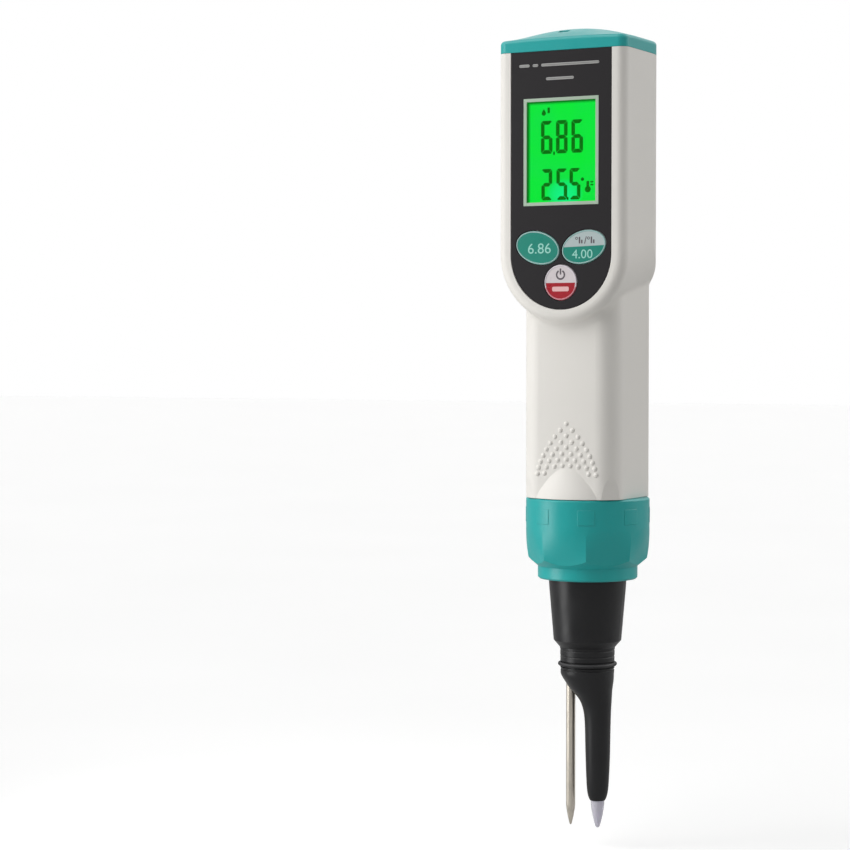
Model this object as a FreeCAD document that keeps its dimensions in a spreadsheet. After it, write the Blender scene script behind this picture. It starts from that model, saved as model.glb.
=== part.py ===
import FreeCAD, Part
import Sketcher
import math
import os

# pH and temperature test pen: head with display and keys, square handle, screw collar and a
# replaceable electrode with a glass tip and a steel temperature rod.
# Frame: +Z up along the pen, origin on the pen axis at the lower end face of the locking collar,
# the keypad faces -Y and the flat back +Y.  Units are millimetres.

V = FreeCAD.Vector
doc = FreeCAD.newDocument("test_pen")

# ---------------------------------------------------------------- driving dimensions
sheet = doc.addObject("Spreadsheet::Sheet", "dims")
ROWS = [  # alias, value, note
    ("head_half", 22.2, "half width of the head"),
    ("head_front", 21.6, "front face of the head, distance from the axis"),
    ("head_corner", 3.0, "front edge radius of the head"),
    ("head_rear", 16.2, "rear corner radius of the head"),
    ("head_lean", 0.2, "rise of the head underside towards the back, per unit of depth"),
    ("neck_blend", 2.6, "hollow radius between head and handle"),
    ("back_face", 16.36, "flat back face, distance from the axis"),
    ("head_centre", 104.3, "centre height of the round lower end of the head"),
    ("head_top", 168.8, "top edge of the casing"),
    ("grip_half", 16.55, "half width of the square handle"),
    ("grip_corner", 7.0, "corner radius of the handle"),
    ("grip_low", 26.5, "lower end of the casing"),
    ("skin", 2.2, "casing wall"),
    ("seam", 13.5, "parting plane between shell and rear cover"),
    ("floor_top", 30.5, "top of the casing floor"),
    ("neck_hole", 12.0, "hole in the casing floor"),
    ("panel_half", 17.45, "half width of the face panel"),
    ("panel_centre", 104.4, "centre height of the round lower end of the panel"),
    ("panel_back", 20.33, "back of the face panel, distance from the axis"),
    ("panel_face", 21.5, "front of the face panel, distance from the axis"),
    ("lcd_mid", 136.95, "centre height of the display"),
    ("lcd_wide", 26.0, "display frame width"),
    ("lcd_tall", 34.0, "display frame height"),
    ("frame_face", 21.55, "front of the display frame"),
    ("key_long", 7.8, "half length of an oval key"),
    ("key_short", 5.25, "half height of an oval key"),
    ("key_tilt", 15.0, "tilt of an oval key, degrees"),
    ("key_side", 8.0, "distance of the oval keys from the middle"),
    ("key_level", 106.6, "height of the oval keys"),
    ("power_level", 95.5, "height of the round key"),
    ("power_round", 5.7, "radius of the round key"),
    ("key_face", 21.55, "front of the keys, distance from the axis"),
    ("key_back", 20.75, "back of the key caps"),
    ("stem_round", 2.2, "radius of the key stems"),
    ("board_back", 13.4, "rear face of the circuit board"),
    ("board_front", 15.0, "front face of the circuit board"),
    ("board_half", 16.5, "half width of the circuit board"),
    ("board_top", 161.5, "top edge of the circuit board"),
    ("cap_crown", 176.9, "highest point of the top cap"),
    ("cap_rim", 172.8, "height of the edge of the cap crown"),
    ("cap_gap", 0.05, "seam between cap and casing"),
    ("skirt_low", 163.8, "lower end of the cap skirt"),
    ("cell_round", 5.8, "button cell radius"),
    ("cell_tall", 5.4, "button cell thickness"),
    ("cell_low", 134.0, "underside of the lowest button cell"),
    ("collar_round", 20.05, "outer radius of the collar"),
    ("collar_top", 26.4, "top of the collar"),
    ("collar_neck", 16.2, "radius of the collar neck"),
    ("neck_top", 4.1, "top of the collar neck ring"),
    ("facet_low", 17.8, "distance of the flats from the axis at their lower edge"),
    ("facet_edge", 6.7, "height of the lower edge of the flats"),
    ("facet_top", 17.5, "height where the flats run out"),
    ("thread_pitch", 3.0, "pitch of the collar thread"),
    ("spigot_round", 14.9, "root radius of the socket thread"),
    ("spigot_crest", 15.6, "crest radius of the socket thread"),
    ("bore_round", 15.75, "root radius of the collar thread"),
    ("bore_crest", 15.05, "crest radius of the collar thread"),
    ("spigot_low", 8.3, "lower end of the socket spigot"),
    ("lip_bore", 12.85, "bore of the collar lip"),
    ("lip_top", 5.2, "top of the collar lip"),
    ("flange_round", 14.4, "radius of the electrode flange"),
    ("flange_low", 5.25, "underside of the electrode flange"),
    ("flange_top", 7.75, "top of the electrode flange"),
    ("probe_upper", 12.6, "radius of the electrode inside the collar"),
    ("probe_shoulder", 11.0, "radius of the electrode above its shoulder"),
    ("probe_neck", 8.85, "radius of the electrode neck"),
    ("stem_offset", 3.72, "distance of the measuring stem from the axis"),
    ("rod_offset", -5.9, "distance of the temperature rod from the axis"),
    ("rod_round", 1.5, "radius of the temperature rod"),
    ("rod_low", -81.5, "point of the temperature rod"),
    ("glass_low", -81.55, "point of the glass tip"),
    ("pin_circle", 5.0, "radius of the contact pin circle"),
]
for row, (alias, value, note) in enumerate(ROWS, start=1):
    sheet.set("A%d" % row, note)
    sheet.set("B%d" % row, str(value))
    sheet.setAlias("B%d" % row, alias)
doc.recompute()


class Dims:
    """Driving dimensions as plain numbers, read from the sheet: dim.head_half."""

    def __getattr__(self, alias):
        return float(sheet.get(alias))


dim = Dims()


class Size:
    """A number together with the sheet expression it comes from."""

    def __init__(self, text, value):
        self.text = text
        self.value = float(value)

    def _join(self, sign, other, value):
        return Size("(%s %s %s)" % (self.text, sign, other.text), value)

    def __add__(self, other):
        other = as_size(other)
        return self._join("+", other, self.value + other.value)

    def __sub__(self, other):
        other = as_size(other)
        return self._join("-", other, self.value - other.value)

    def __mul__(self, other):
        other = as_size(other)
        return self._join("*", other, self.value * other.value)

    def __neg__(self):
        return as_size(0) - self


def as_size(value):
    if isinstance(value, Size):
        return value
    text = "%.6g" % value if value >= 0 else "(0 - %.6g)" % -value
    return Size(text, value)


def linked(alias):
    return Size("dims." + alias, getattr(dim, alias))


def num(value):
    return value.value if isinstance(value, Size) else float(value)


def bind(obj, prop, value):
    if isinstance(value, Size):
        obj.setExpression(prop, value.text)


PIECES = {}


def register(name, obj):
    obj.Label = name
    PIECES[name] = obj
    return obj


# ---------------------------------------------------------------- sketches and bodies
def new_body(name):
    return register(name, doc.addObject("PartDesign::Body", name + "_body"))


def new_sketch(body, role, level, name):
    """Sketch at a level along the plane's normal: +Z for XY_Plane, -Y for XZ_Plane."""
    sketch = body.newObject("Sketcher::SketchObject", name)
    plane = [f for f in body.Origin.OriginFeatures if f.Role == role][0]
    sketch.AttachmentSupport = [(plane, "")]
    sketch.MapMode = "FlatFace"
    sketch.AttachmentOffset = FreeCAD.Placement(V(0, 0, num(level)), FreeCAD.Rotation())
    bind(sketch, "AttachmentOffset.Base.z", level)
    return sketch


def drive(sketch, constraint, value, tag):
    """Name a constraint and bind it, if its value comes from the sheet."""
    if isinstance(value, Size):
        sketch.renameConstraint(constraint, tag)
        bind(sketch, "Constraints." + tag, value)


def pin_point(sketch, geo, pos, x, y, tag):
    across = sketch.addConstraint(Sketcher.Constraint("DistanceX", -1, 1, geo, pos, num(x)))
    up = sketch.addConstraint(Sketcher.Constraint("DistanceY", -1, 1, geo, pos, num(y)))
    drive(sketch, across, x, tag + "x")
    drive(sketch, up, y, tag + "y")


def join_loop(sketch, base, count):
    for i in range(count):
        following = base + (i + 1) % count
        sketch.addConstraint(Sketcher.Constraint("Coincident", base + i, 2, following, 1))


def polygon(sketch, pts, tag="p"):
    base = sketch.GeometryCount
    corners = [V(num(x), num(y), 0) for x, y in pts]
    for a, b in zip(corners, corners[1:] + corners[:1]):
        sketch.addGeometry(Part.LineSegment(a, b), False)
    join_loop(sketch, base, len(pts))
    for i, (x, y) in enumerate(pts):
        pin_point(sketch, base + i, 1, x, y, "%s%d" % (tag, i))


def circle(sketch, x, y, radius, tag):
    rim = Part.Circle(V(num(x), num(y), 0), V(0, 0, 1), num(radius))
    geo = sketch.addGeometry(rim, False)
    pin_point(sketch, geo, 3, x, y, tag)
    constraint = sketch.addConstraint(Sketcher.Constraint("Radius", geo, num(radius)))
    drive(sketch, constraint, radius, tag + "rad")


def u_outline(sketch, half, top, centre):
    """Straight sides and a round lower end."""
    side, high, low = num(half), num(top), num(centre)
    base = sketch.GeometryCount
    bow = Part.Circle(V(0, low, 0), V(0, 0, 1), side)
    for curve in (Part.LineSegment(V(-side, high, 0), V(-side, low, 0)),
                  Part.ArcOfCircle(bow, math.pi, 2 * math.pi),
                  Part.LineSegment(V(side, low, 0), V(side, high, 0)),
                  Part.LineSegment(V(side, high, 0), V(-side, high, 0))):
        sketch.addGeometry(curve, False)
    join_loop(sketch, base, 4)
    pin_point(sketch, base + 1, 3, 0, centre, "uc")
    pin_point(sketch, base, 1, -half, top, "ua")
    pin_point(sketch, base + 2, 2, half, top, "ub")
    pin_point(sketch, base, 2, -half, centre, "ud")
    end = sketch.addConstraint(Sketcher.Constraint("DistanceY", -1, 1, base + 2, 1, low))
    drive(sketch, end, centre, "uey")


def pad(body, sketch, length, name, kind="Pad"):
    feature = body.newObject("PartDesign::" + kind, name)
    feature.Profile = sketch
    feature.Length = num(length)
    bind(feature, "Length", length)
    body.Tip = feature
    return feature


def rectangle(x0, x1, y0, y1):
    return [(x0, y0), (x1, y0), (x1, y1), (x0, y1)]


def plate(name, pts, rear, front):
    """A flat piece parallel to the keypad: outline in X and Z, from depth rear to depth front,
    both counted from the axis towards the front."""
    body = new_body(name)
    sketch = new_sketch(body, "XZ_Plane", rear, name + "_outline")
    polygon(sketch, pts)
    pad(body, sketch, front - rear, name + "_pad")


def turned(name, pts, x=0.0):
    """A piece turned about the pen's axis, or about a parallel axis at x; points are
    (radius, height)."""
    body = new_body(name)
    sketch = new_sketch(body, "XZ_Plane", 0, name + "_section")
    polygon(sketch, pts)
    turn = body.newObject("PartDesign::Revolution", name + "_turn")
    turn.Profile = sketch
    turn.ReferenceAxis = (sketch, ["V_Axis"])
    turn.Angle = 360.0
    body.Tip = turn
    if num(x):
        body.Placement = FreeCAD.Placement(V(num(x), 0, 0), FreeCAD.Rotation())
        bind(body, "Placement.Base.x", x)


# ---------------------------------------------------------------- solids
def add_solid(name, shape):
    feature = doc.addObject("Part::Feature", name + "_shape")
    feature.Shape = shape
    feature.Placement = FreeCAD.Placement()
    register(name, feature)


def add_solids(name, shapes):
    add_solid(name, Part.makeCompound(shapes))


def cyl_y(x, z, radius, y0, y1):
    return Part.makeCylinder(radius, y1 - y0, V(x, y0, z), V(0, 1, 0))


def cyl_z(x, y, radius, z0, z1):
    return Part.makeCylinder(radius, z1 - z0, V(x, y, z0))


def box(x0, x1, y0, y1, z0, z1):
    return Part.makeBox(x1 - x0, y1 - y0, z1 - z0, V(x0, y0, z0))


def slab(y0, y1, z0, z1):
    """Block wider than the pen."""
    return box(-40, 40, y0, y1, z0, z1)


def face_of(pts):
    return Part.Face(Part.makePolygon(pts + pts[:1]))


def revolve(pts):
    """Solid turned about the pen's axis from (radius, height) points."""
    return face_of([V(x, 0, z) for x, z in pts]).revolve(V(0, 0, 0), V(0, 0, 1), 360)


def edges_at(solid, axis, level):
    """Edges whose centre lies at a level along an axis."""
    return [e for e in solid.Edges if abs(getattr(e.CenterOfMass, axis) - level) < 1e-3]


def soften(solid, radius, edges, least=0.0):
    """Fillet that leaves the solid as it is where the kernel cannot build a sound one;
    least is the smallest share of the volume that has to remain."""
    try:
        soft = solid.makeFillet(radius, edges)
        if soft.isValid() and soft.Volume > least * solid.Volume:
            return soft
    except Exception:
        pass
    return solid


def u_prism(half, top, centre, y0, y1, lean=0.0):
    """Straight sides and a round lower end; with a lean the round end rises towards the back."""
    a, b = V(-half, y0, top), V(-half, y0, centre)
    c, d = V(half, y0, centre), V(half, y0, top)
    bow = Part.Arc(b, V(0, y0, centre - half), c).toShape()
    outline = Part.Wire([Part.makeLine(a, b), bow, Part.makeLine(c, d), Part.makeLine(d, a)])
    prism = Part.Face(outline).extrude(V(0, y1 - y0, lean * (y1 - y0)))
    if lean:
        prism = prism.common(box(-half - 5, half + 5, y0 - 1, y1 + 1, centre - half - 5, top))
    return prism


def plan_wire(half, front, back, front_radius, rear_radius, z):
    """Plan of the head: small front corner radii, large rear corner radii."""
    f, r = front_radius, rear_radius
    s = math.sqrt(0.5)
    pts = [V(-half + f, -front, z), V(half - f, -front, z),
           V(half, -front + f, z), V(half, back - r, z),
           V(half - r, back, z), V(-half + r, back, z),
           V(-half, back - r, z), V(-half, -front + f, z)]
    mids = {1: V(half - f + f * s, -front + f - f * s, z),
            3: V(half - r + r * s, back - r + r * s, z),
            5: V(-half + r - r * s, back - r + r * s, z),
            7: V(-half + f - f * s, -front + f - f * s, z)}
    edges = []
    for i in range(8):
        a, b = pts[i], pts[(i + 1) % 8]
        edges.append(Part.Arc(a, mids[i], b).toShape() if i in mids else Part.makeLine(a, b))
    return Part.Wire(edges)


def plan(half, front, back, front_radius, rear_radius, z0, z1):
    outline = plan_wire(half, front, back, front_radius, rear_radius, z0)
    return Part.Face(outline).extrude(V(0, 0, z1 - z0))


def rounded_square(half, radius, z0, z1, crown, back):
    """Square prism with rounded corners; front and side faces may be slightly crowned."""
    pts = [V(-half, -half, z0), V(half, -half, z0), V(half, back, z0), V(-half, back, z0)]
    mids = {}
    if crown:
        mids = {0: V(0, -half - crown, z0), 1: V(half + crown, 0, z0), 3: V(-half - crown, 0, z0)}
    edges = []
    for i in range(4):
        a, b = pts[i], pts[(i + 1) % 4]
        edges.append(Part.Arc(a, mids[i], b).toShape() if i in mids else Part.makeLine(a, b))
    prism = Part.Face(Part.Wire(edges)).extrude(V(0, 0, z1 - z0))
    upright = [e for e in prism.Edges if abs(e.Vertexes[0].Z - e.Vertexes[-1].Z) > 1.0]
    return prism.makeFillet(radius, upright)


# ---------------------------------------------------------------- casing
HALF, FRONT, BACK = dim.head_half, dim.head_front, dim.back_face
TOP, LOW, SEAM, REAR_RADIUS = dim.head_top, dim.grip_low, dim.seam, dim.head_rear
GRIP_TOP = 112.0     # the handle block ends here, inside the head
PLAN_LOW = 60.0      # plan blocks of the head start here, below its round end
INNER_HALF = HALF - dim.skin
INNER_FRONT = FRONT - dim.skin - 0.2    # the front wall is a little thicker
INNER_BACK = BACK - dim.skin

# round limits of the handle, front and back half: radius, height
FRONT_LIMIT = [(0, LOW), (20.35, LOW), (20.6, 31.0), (21.4, 38.0), (21.4, GRIP_TOP), (0, GRIP_TOP)]
BACK_LIMIT = [(0, LOW), (20.6, LOW), (20.6, 28.5), (21.4, 32.0), (21.4, GRIP_TOP), (0, GRIP_TOP)]
# flare of the foot: radius, height
FLARE = [(19.9, LOW), (19.45, 28.4), (18.65, 30.9), (17.8, 33.6), (17.05, 36.4), (16.6, 39.0)]
FADE_LOW, FADE_HIGH, FADE_END = 74.0, 102.0, 113.0


def head_block():
    head = u_prism(HALF, TOP, dim.head_centre, -FRONT, BACK, dim.head_lean)
    rim = [e for e in edges_at(head, "y", -FRONT) if e.CenterOfMass.z < TOP - 1]
    head = head.makeFillet(dim.head_corner, rim)
    return head.common(plan(HALF, FRONT + 5, BACK, 1.0, REAR_RADIUS, PLAN_LOW, TOP))


def corner_fade():
    """Room for the handle's rear corners as they fade into the rounder back of the head."""
    fade = Part.makeLoft([
        plan_wire(HALF + 2.0, FRONT + 7.0, BACK + 2.0, 1.0, REAR_RADIUS + 2.0, FADE_LOW),
        plan_wire(HALF, FRONT + 5.0, BACK, 1.0, REAR_RADIUS, FADE_HIGH)], True, True)
    straight = plan(HALF, FRONT + 5.0, BACK, 1.0, REAR_RADIUS, FADE_HIGH, FADE_END)
    return fade.fuse(straight).removeSplitter()


def foot_block():
    """Round foot at the front of the handle, swelling to match the collar."""
    pts = [V(x, 0, z) for x, z in FLARE]
    flare = Part.BSplineCurve()
    flare.interpolate(pts)
    bottom, top = V(0, 0, pts[0].z), V(0, 0, pts[-1].z)
    swell = Part.Wire([Part.makeLine(bottom, pts[0]), flare.toShape(),
                       Part.makeLine(pts[-1], top), Part.makeLine(top, bottom)])
    foot = Part.Face(swell).revolve(V(0, 0, 0), V(0, 0, 1), 360)
    return foot.common(box(-14.0, 14.0, -30, -13.0, LOW, 40))


def handle_block():
    grip = rounded_square(dim.grip_half, dim.grip_corner, LOW, GRIP_TOP, 0.40, BACK)
    front_limit = revolve(FRONT_LIMIT).common(slab(-30, 0, 0, 130))
    back_limit = revolve(BACK_LIMIT).common(slab(0, 30, 0, 130))
    grip = grip.common(front_limit.fuse(back_limit))
    grip = grip.cut(slab(-40, 40, FADE_LOW, FADE_END).cut(corner_fade()))
    return grip.fuse(foot_block())


def along(edge, share):
    return edge.valueAt(edge.FirstParameter * (1 - share) + edge.LastParameter * share)


def casing_outer():
    """Head and handle in one, with a hollow blend where they meet."""
    head, grip = head_block(), handle_block()
    out = head.fuse(grip).removeSplitter()
    meet = head.section(grip)

    def on_meet(edge):
        return all(meet.distToShape(Part.Vertex(along(edge, share)))[0] < 1e-3
                   for share in (0.5, 0.25))

    joint = [e for e in out.Edges if 60 < along(e, 0.5).z < 110 and on_meet(e)]
    # the kernel may refuse the full radius or the edges near the back,
    # so smaller radii and shorter chains stand by
    for radius in (dim.neck_blend, 2.2, 1.8, 1.4, 1.0, 0.6):
        for back_limit in (40.0, 12.0, 8.0, 0.0):
            chain = [e for e in joint if along(e, 0.5).y < back_limit]
            try:
                soft = out.makeFillet(radius, chain)
                if soft.isValid() and len(soft.Solids) == 1 and soft.Volume > out.Volume:
                    return soft
            except Exception:
                continue
    return out


def inner_plan(gap, front_radius, trim, z0, z1):
    """Plan of the room in the head, smaller by gap; trim comes off the rear radius."""
    return plan(INNER_HALF - gap, INNER_FRONT - gap, INNER_BACK - gap, front_radius,
                REAR_RADIUS - dim.skin - trim, z0, z1)


def cavity(gap, z_low, z_high):
    """Room inside the casing, made smaller by gap on every side."""
    y0 = -INNER_FRONT + gap
    centre = dim.head_centre + dim.head_lean * (y0 + FRONT)
    head = u_prism(INNER_HALF - gap, z_high, centre, y0, INNER_BACK - gap, dim.head_lean)
    head = head.common(inner_plan(gap, 1.0, 0.0, PLAN_LOW, z_high))
    grip = rounded_square(dim.grip_half - dim.skin - gap, dim.grip_corner - dim.skin,
                          z_low, GRIP_TOP - gap, 0.0, INNER_BACK - gap)
    return head.fuse(grip).removeSplitter()


LCD_HALF = dim.lcd_wide / 2
LCD_LOW = dim.lcd_mid - dim.lcd_tall / 2
LCD_HIGH = dim.lcd_mid + dim.lcd_tall / 2
KEYS = {  # x, z
    "left_key": (-dim.key_side, dim.key_level),
    "right_key": (dim.key_side, dim.key_level),
    "power_key": (0.0, dim.power_level),
}
KEY_TILT = {"left_key": -dim.key_tilt, "right_key": dim.key_tilt}
# screw places: x, z
BOARD_SCREWS = [(-13.6, 158.6), (13.6, 158.6), (-11.6, 97.5), (11.6, 97.5)]
COVER_SCREWS = [(-8.8, 42.0), (8.8, 42.0), (-8.8, 84.0), (8.8, 84.0)]
PARTING = 0.06       # gap between shell and rear cover


def lcd_opening(gap, y0):
    return box(-LCD_HALF - gap, LCD_HALF + gap, y0, -15, LCD_LOW - gap, LCD_HIGH + gap)


def whole_casing():
    """Hollow casing with panel recess, display opening, stem holes and floor hole."""
    casing = casing_outer().cut(cavity(0.0, dim.floor_top, TOP + 1))
    casing = casing.cut(u_prism(dim.panel_half + 0.06, TOP + 1, dim.panel_centre,
                                -FRONT - 1, -(dim.panel_back - 0.03)))
    casing = casing.cut(lcd_opening(0.15, -FRONT - 1))
    for x, z in KEYS.values():
        casing = casing.cut(cyl_y(x, z, dim.stem_round + 0.3, -FRONT - 1, -15))
    return casing.cut(cyl_z(0, 0, dim.neck_hole, LOW - 1, 40))


def side_rib(x, z, reach, y0, y1, half):
    """Web from a screw outwards to x = reach on the same side."""
    wall = math.copysign(reach, x)
    return box(min(x, wall), max(x, wall), y0, y1, z - half, z + half)


def front_shell(casing):
    shell = casing.common(slab(-40, SEAM - PARTING, 0, 200))
    for x, z in BOARD_SCREWS:
        shell = shell.fuse(cyl_y(x, z, 2.3, -19.6, -(dim.board_front + 0.05)))
    for x, z in COVER_SCREWS:
        shell = shell.fuse(cyl_y(x, z, 2.9, 4.0, SEAM - PARTING))
        shell = shell.fuse(side_rib(x, z, 14.5, 4.0, SEAM - PARTING, 1.3))
    for x, z in BOARD_SCREWS:
        shell = shell.cut(cyl_y(x, z, 1.0, -19.2, -14.0))
    for x, z in COVER_SCREWS:
        shell = shell.cut(cyl_y(x, z, 1.25, 5.0, 14.0))
    return shell.removeSplitter()


def lip_ring(gap, y0, y1):
    ring = cavity(gap, 31.0, 163.0).cut(cavity(1.10, 30.0, 164.0))
    return ring.common(slab(y0, y1, 35.5, 162.9))


def rear_cover(casing):
    """Back of the casing with a lip that reaches into the shell."""
    cover = casing.common(slab(SEAM, 40, 0, 200))
    lip = lip_ring(0.10, SEAM - 2.0, SEAM + 0.3)
    root = lip_ring(-0.3, SEAM, SEAM + 0.5)
    cover = cover.fuse(root).fuse(lip)
    for x, z in COVER_SCREWS:
        # the lip gives way to the screw bosses of the shell
        cover = cover.cut(cyl_y(x, z, 3.1, SEAM - 3, SEAM))
        cover = cover.cut(side_rib(x, z, 15, SEAM - 3, SEAM, 1.5))
        # countersunk hole
        cover = cover.cut(cyl_y(x, z, 1.35, 10, 20))
        cover = cover.cut(Part.makeCone(1.35, 2.45, 1.3, V(x, BACK - 1.35, z), V(0, 1, 0)))
        cover = cover.cut(cyl_y(x, z, 2.45, BACK - 0.06, BACK + 1))
    return cover.removeSplitter()


def cover_screw(x, z):
    """Countersunk screw with a cross slot."""
    head, shank = 2.3, 1.2
    screw = Part.makeCone(shank, head, 1.2, V(x, BACK - 1.36, z), V(0, 1, 0))
    screw = screw.fuse(cyl_y(x, z, head, BACK - 0.16, BACK - 0.08))
    screw = screw.fuse(cyl_y(x, z, shank, 5.6, BACK - 1.3))
    for wide, tall in ((1.5, 0.22), (0.22, 1.5)):
        screw = screw.cut(box(x - wide, x + wide, BACK - 0.75, BACK + 1, z - tall, z + tall))
    return screw


def board_screw(x, z):
    """Screw with a rounded head and a single slot, entering from the rear of the board."""
    seat = -dim.board_back + 0.04
    head = cyl_y(x, z, 1.9, seat, seat + 1.3)
    head = head.makeFillet(0.4, edges_at(head, "y", seat + 1.3))
    screw = head.fuse(cyl_y(x, z, 0.94, -18.6, seat + 0.1))
    return screw.cut(box(x - 1.2, x + 1.2, seat + 0.7, seat + 2, z - 0.2, z + 0.2))


casing = whole_casing()
add_solid("front_shell", front_shell(casing))
add_solid("rear_cover", rear_cover(casing))
add_solids("cover_screws", [cover_screw(x, z) for x, z in COVER_SCREWS])
add_solids("board_screws", [board_screw(x, z) for x, z in BOARD_SCREWS])


# ---------------------------------------------------------------- face panel and display stack
def key_outline(name, grow, y0, y1):
    """Prism of a key's outline along Y; positive tilt lifts the right-hand end."""
    x, z = KEYS[name]
    if name not in KEY_TILT:
        return cyl_y(x, z, dim.power_round + grow, y0, y1)
    oval = Part.Ellipse(V(0, 0, 0), dim.key_long + grow, dim.key_short + grow)
    prism = Part.Face(Part.Wire(oval.toShape())).extrude(V(0, 0, y1 - y0))
    upright = FreeCAD.Placement(V(x, y1, z), FreeCAD.Rotation(V(1, 0, 0), 90))
    tilt = FreeCAD.Placement(V(0, 0, 0), FreeCAD.Rotation(V(0, 0, 1), KEY_TILT[name]))
    prism.Placement = upright.multiply(tilt)
    return prism


def face_panel():
    panel = u_prism(dim.panel_half, TOP - 0.05, dim.panel_centre,
                    -dim.panel_face, -dim.panel_back)
    panel = panel.cut(lcd_opening(0.05, -30))
    for name in KEYS:
        panel = panel.cut(key_outline(name, 0.15, -30, -15))
    # long outer edges of the front face
    rim = [e for e in edges_at(panel, "y", -dim.panel_face) if e.BoundBox.ZLength > 30
           and (e.BoundBox.XLength > 30
                or abs(abs(e.CenterOfMass.x) - dim.panel_half) < 0.01)]
    return soften(panel, 0.35, rim)


def lcd_rectangle(grow, lift=0.0):
    """Display outline, larger by grow on every side, its lower edge raised by lift."""
    mid, half = linked("lcd_mid"), linked("lcd_wide") * 0.5 + grow
    half_tall = linked("lcd_tall") * 0.5
    return rectangle(-half, half, mid - half_tall - grow + lift, mid + half_tall + grow)


def lcd_frame():
    """Collar through panel and shell wall, flange behind the wall, narrow bezel in front."""
    bezel = 21.28
    rings = [  # name, rear, depth, growth of the outer edge, growth of the opening
        ("flange", 18.35, 0.75, 1.5, -0.8),
        ("wall", 19.0, 2.3, 0.0, -0.8),
        ("bezel", bezel, linked("frame_face") - bezel, 0.0, -1.05),
    ]
    body = new_body("lcd_frame")
    for name, rear, depth, outside, inside in rings:
        sketch = new_sketch(body, "XZ_Plane", rear, "frame_" + name)
        polygon(sketch, lcd_rectangle(outside))
        polygon(sketch, lcd_rectangle(inside), "q")
        pad(body, sketch, depth, "frame_%s_pad" % name)


add_solid("face_panel", face_panel())
lcd_frame()
plate("display_window", lcd_rectangle(-0.9), 20.74, 21.24)
plate("lcd_cell", lcd_rectangle(-0.9), 18.4, 20.7)
plate("backlight", lcd_rectangle(-0.9, lift=3.6), 15.06, 18.35)
add_solids("lcd_pins", [cyl_y(-10.0 + 2.0 * i, LCD_LOW + 2.3, 0.25, -18.37, -15.04)
                        for i in range(11)])


# ---------------------------------------------------------------- circuit board and keys
def main_board():
    body = new_body("main_board")
    sketch = new_sketch(body, "XZ_Plane", linked("board_back"), "board_outline")
    u_outline(sketch, linked("board_half"), linked("board_top"), linked("panel_centre"))
    for i, (x, z) in enumerate(BOARD_SCREWS):
        circle(sketch, x, z, 1.15, "hole%d" % i)
    pad(body, sketch, linked("board_front") - linked("board_back"), "board_pad")


def chip(x, z, wide, high, thick, legs):
    """Chip package on the rear of the board; each leg strip sticks out above and below."""
    y = -dim.board_back + 0.02
    package = box(x - wide / 2, x + wide / 2, y + 0.15, y + thick, z - high / 2, z + high / 2)
    for i in range(legs):
        leg = x - wide / 2 + wide * (i + 0.5) / legs
        package = package.fuse(box(leg - 0.15, leg + 0.15, y, y + 0.45,
                                   z - high / 2 - 0.9, z + high / 2 + 0.9))
    return package.removeSplitter()


def switch_body(x, z):
    """Tactile switch housing with a bore for the plunger."""
    half = 3.0
    housing = box(x - half, x + half, -16.6, -dim.board_front - 0.03, z - half, z + half)
    return housing.cut(cyl_y(x, z, 1.7, -17, -15.4))


def plunger(key_name):
    x, z = KEYS[key_name]
    body = new_body(key_name.replace("_key", "_plunger"))
    sketch = new_sketch(body, "XZ_Plane", 16.05, key_name + "_plunger_round")
    circle(sketch, x, z, 1.6, "rim")
    pad(body, sketch, 2.37, key_name + "_plunger_pad")


def key(name):
    """Key cap with a soft front edge, a stem through the casing wall and a retaining ring."""
    x, z = KEYS[name]
    cap = key_outline(name, 0.0, -dim.key_face, -dim.key_back)
    rim = [e for e in edges_at(cap, "y", -dim.key_face) if e.Length > 20]
    cap = cap.makeFillet(0.45, rim)
    stem = cyl_y(x, z, dim.stem_round, -dim.key_back - 0.2, -18.5)
    ring = cyl_y(x, z, dim.stem_round + 0.8, -19.0, -18.5)
    return cap.fuse(stem).fuse(ring).removeSplitter()


main_board()
add_solid("processor_chip", chip(0.0, 117.0, 7.0, 7.0, 1.4, 9))
add_solid("amplifier_chip", chip(-6.5, 104.0, 4.9, 3.9, 1.5, 4))
add_solids("switch_bodies", [switch_body(x, z) for x, z in KEYS.values()])
for name in KEYS:
    plunger(name)
for name in KEYS:
    add_solid(name, key(name))

# ---------------------------------------------------------------- top cap
GROOVE_LOW, GROOVE_HIGH = 165.8, 167.2


def crown_body():
    """Everything below the crowned upper surface of the cap, as a grid of computed points."""
    count, overrun = 21, 1.12    # points each way; reach beyond the cap edge
    half_depth, y_mid = (FRONT + BACK) / 2, (BACK - FRONT) / 2
    rim = dim.cap_rim
    rise = dim.cap_crown - rim
    steps = [-overrun + 2 * overrun * i / (count - 1) for i in range(count)]
    grid = []
    for u in steps:
        points = []
        for v in steps:
            fall = max(0.0, 1 - abs(u) ** 2.2) * max(0.0, 1 - abs(v) ** 3.5)
            over = max(0.0, max(abs(u), abs(v)) - 1)
            height = rim + rise * (fall ** 1.2 - 0.35 * over)
            points.append(V(u * HALF, y_mid + v * half_depth, height))
        grid.append(points)
    surface = Part.BSplineSurface()
    surface.interpolate(grid)
    return surface.toShape().extrude(V(0, 0, -30))


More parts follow.
